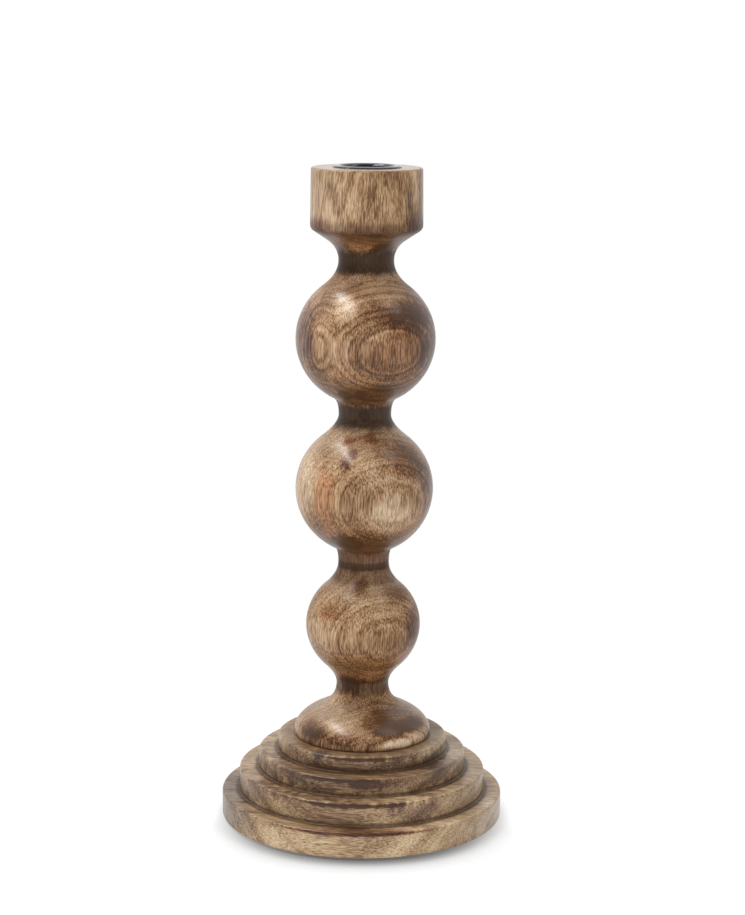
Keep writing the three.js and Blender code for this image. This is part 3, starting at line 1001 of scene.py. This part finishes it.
def floorMaterial(look):
    # matt floor, lifted to white where the camera or a mirror sees it, less a contact shade by the object
    # that reaches further and is deeper in front and behind than at the sides
    material, board = newMaterial("pale_floor")
    rays = board.tree.nodes.new("ShaderNodeLightPath").outputs
    seen = board.maths("MAXIMUM", rays["Is Camera Ray"], rays["Is Glossy Ray"])
    seen = board.maths("MAXIMUM", seen, rays["Is Transmission Ray"])
    colour = board.mixed(seen, look["tone"], look["seenTone"])
    matt = board.surface(Base_Color=colour, Roughness=look["roughness"], Specular_IOR_Level=0.0)
    here = board.add("TexCoord", out="Object")
    back = board.part(here, "Y")
    behind = board.maths("SUBTRACT", back, look["rear"])
    off = board.maths("MAXIMUM", board.times(back, -1.0), behind)
    reach = board.between(off, look["front"], look["side"], *look["contactReach"])
    start = board.between(off, look["front"], look["flank"], *look["contactStart"])
    depth = board.between(off, look["front"], look["side"], *look["contactDepth"])
    openness = board.add("AmbientOcclusion", {"Distance": reach}, "AO", samples=look["contactSamples"])
    contact = board.times(board.between(openness, look["contactEnd"], start), depth)
    lift = board.times(seen, look["lift"])
    lift = board.times(lift, board.maths("SUBTRACT", 1.0, contact))
    glow = board.add("Emission", {"Color": (1, 1, 1, 1), "Strength": lift})
    near = board.add("AddShader", {0: matt, 1: glow})
    away = board.between(board.vectors("LENGTH", here, out=1), look["fadeFrom"], look["fadeTo"])
    white = board.add("Emission", {"Color": (1, 1, 1, 1), "Strength": 1.0})
    board.output(board.add("MixShader", {0: board.times(seen, away), 1: near, 2: white}))
    return material


def flatFloor(name, half):
    # square of side 2 half at height 0
    side = np.array([-half, half])
    x, y = np.meshgrid(side, side)
    points = np.column_stack([x.ravel(), y.ravel(), np.zeros(4)])
    return meshPiece(name, points, np.array([[0, 1, 3, 2]]), np.zeros((0, 3), int))


floor = flatFloor("floor", floorLook["half"])
floor.data.materials.append(floorMaterial(floorLook))

# World: plain light on the object, white to the camera, and in mirrors bright behind and dim in front
skyLook = {"light": 0.45, "front": 0.2, "behind": 1.0, "turn": (-0.5, 0.4)}
world = bpy.data.worlds.new("white_studio")
bpy.context.scene.world = world
world.use_nodes = True
sky = NodeBoard(world.node_tree)
rays = sky.tree.nodes.new("ShaderNodeLightPath").outputs
mirrored = sky.maths("MAXIMUM", rays["Is Glossy Ray"], rays["Is Transmission Ray"])
depth = sky.part(sky.add("TexCoord", out="Generated"), "Y")
room = sky.between(depth, *skyLook["turn"], skyLook["front"], skyLook["behind"])
level = sky.add("Mix", {0: mirrored, 2: skyLook["light"], 3: room})
level = sky.maths("MAXIMUM", level, rays["Is Camera Ray"])
backdrop = world.node_tree.nodes["Background"]
sky.feed(backdrop.inputs["Strength"], level)
sky.feed(backdrop.inputs["Color"], (1, 1, 1, 1))

# Softboxes: a long one above left for the streaked highlights, a weak one at the right, a fill in front
softboxAim = (0, 0, 0.15)
softboxes = [
    {"name": "top_softbox", "place": (-0.74, -0.1, 1.64), "wide": 1.4, "tall": 0.2,
     "power": 17.0, "mirrored": True},
    {"name": "right_softbox", "place": (0.78, -0.2, 1.3), "wide": 0.4, "tall": 0.6,
     "power": 2.0, "mirrored": True},
    {"name": "front_softbox", "place": (-0.05, -1.4, 0.55), "wide": 1.0, "tall": 1.0,
     "power": 5.6, "mirrored": False},
]
for box in softboxes:
    lamp = bpy.data.lights.new(box["name"], "AREA")
    lamp.shape = "RECTANGLE"
    lamp.size = box["wide"]
    lamp.size_y = box["tall"]
    lamp.energy = box["power"]
    lampPiece = bpy.data.objects.new(box["name"], lamp)
    bpy.context.scene.collection.objects.link(lampPiece)
    lampPiece.location = box["place"]
    beam = Vector(softboxAim) - Vector(box["place"])
    lampPiece.rotation_euler = beam.to_track_quat("-Z", "Y").to_euler()
    lampPiece.visible_glossy = box["mirrored"]

# Camera: in front and above, tipped down, with the picture's slight roll
cameraLook = {
    "place": (0.00365, -1.0444, 0.3718), "tipDown": 10.97, "roll": 0.56, "lens": 91.85, "sensor": 36.0,
}
view = bpy.data.cameras.new("photo_camera")
view.lens = cameraLook["lens"]
view.sensor_width = cameraLook["sensor"]
camera = bpy.data.objects.new("photo_camera", view)
bpy.context.scene.collection.objects.link(camera)
camera.matrix_world = (
    Matrix.Translation(cameraLook["place"])
    @ Matrix.Rotation(math.radians(90 - cameraLook["tipDown"]), 4, "X")
    @ Matrix.Rotation(math.radians(cameraLook["roll"]), 4, "Z")
)
bpy.context.scene.camera = camera
bpy.context.scene.view_settings.view_transform = "Standard"
print("stage, lights and camera set")
